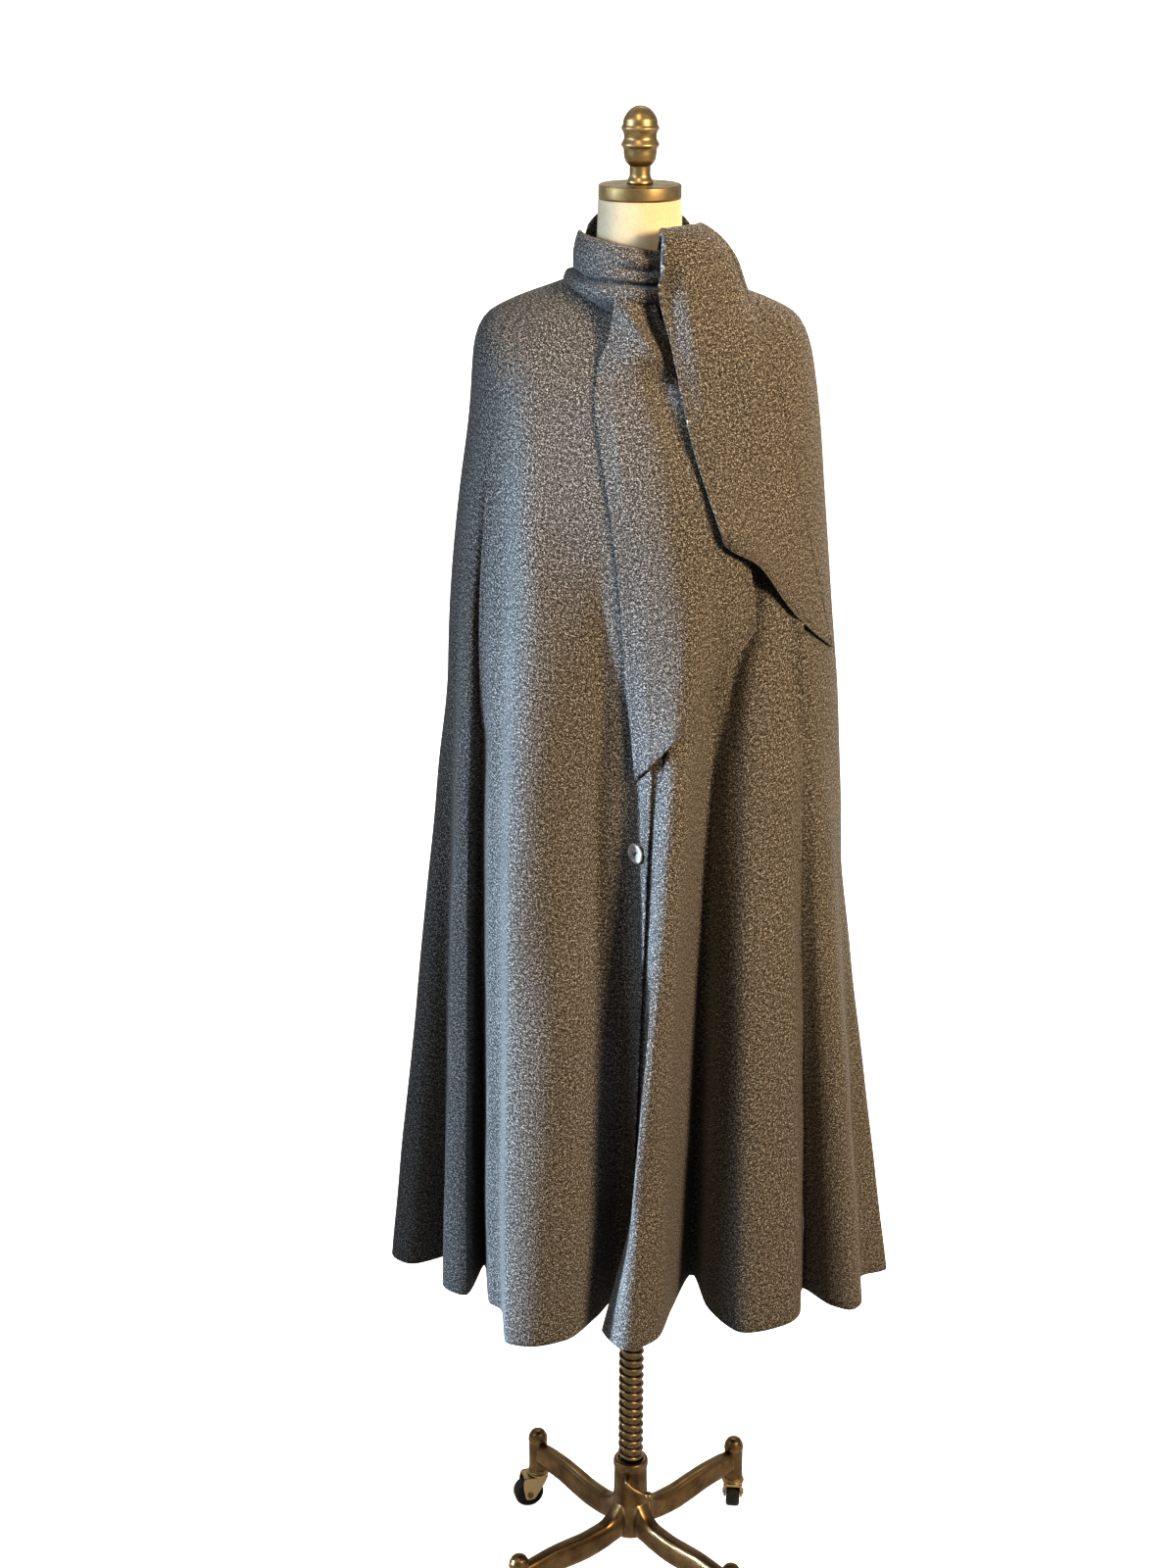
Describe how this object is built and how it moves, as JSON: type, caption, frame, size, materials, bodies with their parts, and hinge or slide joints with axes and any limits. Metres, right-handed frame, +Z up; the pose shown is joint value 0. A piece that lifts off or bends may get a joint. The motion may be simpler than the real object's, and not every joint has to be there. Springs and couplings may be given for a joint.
{
  "type": "wool cape coat on a dress form stand",
  "caption": "Full wool cape with a tied scarf collar and deep hanging folds, shown on a covered dress form with a brass finial and a rolling ribbed-pole stand.",
  "frame": {"origin": "floor point under the pole, the bottom centre of the bounding box within its tolerance", "axes": "+X to the right seen from the front, +Y to the back, +Z up; the front faces -Y"},
  "size_m": [0.608, 0.422, 1.8436],
  "materials": {
    "wool": "napped melange wool flannel, grey with light and dark flecks",
    "button": "pearly grey, polished",
    "cover": "smooth cream cotton cover",
    "brass": "antique brass finish, darkened in the hollows",
    "wheel": "black moulded wheel"
  },
  "bodies": {
    "base": {"hub": "brass", "leg_rear_left": "brass", "leg_rear_right": "brass", "leg_front_left": "brass", "leg_front_right": "brass"},
    "upper": {"pole": "brass", "form_torso": "cover", "neck_plate": "brass", "finial": "brass", "front_left": "wool", "front_right": "wool", "back": "wool", "scarf_tail_centre": "wool", "scarf_tail_side": "wool", "scarf_stand_back": "wool", "scarf_wrap_front": "wool", "button": "button"},
    "lever": {"lock_lever": "brass"},
    "caster_rear_left": {"caster_collar_rear_left": "brass", "caster_fork_rear_left": "brass"},
    "wheel_rear_left": {"caster_wheel_rear_left": "wheel"},
    "caster_rear_right": {"caster_collar_rear_right": "brass", "caster_fork_rear_right": "brass"},
    "wheel_rear_right": {"caster_wheel_rear_right": "wheel"},
    "caster_front_left": {"caster_collar_front_left": "brass", "caster_fork_front_left": "brass"},
    "wheel_front_left": {"caster_wheel_front_left": "wheel"},
    "caster_front_right": {"caster_collar_front_right": "brass", "caster_fork_front_right": "brass"},
    "wheel_front_right": {"caster_wheel_front_right": "wheel"}
  },
  "joints": [
    {"name": "height_slide", "type": "slide", "parent": "base", "child": "upper", "axis": [0, 0, 1], "range_m": [0, 0.07]},
    {"name": "lever_turn", "type": "hinge", "parent": "base", "child": "lever", "pos_m": [-0.005, -0.0213, 0.154], "axis": [0, 1, 0], "range_deg": [-75, 30]},
    {"name": "swivel_rear_left", "type": "hinge", "parent": "base", "child": "caster_rear_left", "pos_m": [-0.12203, 0.14038, 0.05], "axis": [0, 0, 1], "continuous": true},
    {"name": "roll_rear_left", "type": "hinge", "parent": "caster_rear_left", "child": "wheel_rear_left", "pos_m": [-0.13548, 0.13652, 0.01975], "axis": [0.2756, -0.9613, 0], "continuous": true},
    {"name": "swivel_rear_right", "type": "hinge", "parent": "base", "child": "caster_rear_right", "pos_m": [0.14038, 0.12203, 0.05], "axis": [0, 0, 1], "continuous": true},
    {"name": "roll_rear_right", "type": "hinge", "parent": "caster_rear_right", "child": "wheel_rear_right", "pos_m": [0.14184, 0.13595, 0.01975], "axis": [-0.9945, 0.1045, 0], "continuous": true},
    {"name": "swivel_front_left", "type": "hinge", "parent": "base", "child": "caster_front_left", "pos_m": [-0.14038, -0.12203, 0.05], "axis": [0, 0, 1], "continuous": true},
    {"name": "roll_front_left", "type": "hinge", "parent": "caster_front_left", "child": "wheel_front_left", "pos_m": [-0.14516, -0.13518, 0.01975], "axis": [0.9397, -0.342, 0], "continuous": true},
    {"name": "swivel_front_right", "type": "hinge", "parent": "base", "child": "caster_front_right", "pos_m": [0.12203, -0.14038, 0.05], "axis": [0, 0, 1], "continuous": true},
    {"name": "roll_front_right", "type": "hinge", "parent": "caster_front_right", "child": "wheel_front_right", "pos_m": [0.13415, -0.14738, 0.01975], "axis": [0.5, 0.866, 0], "continuous": true}
  ]
}
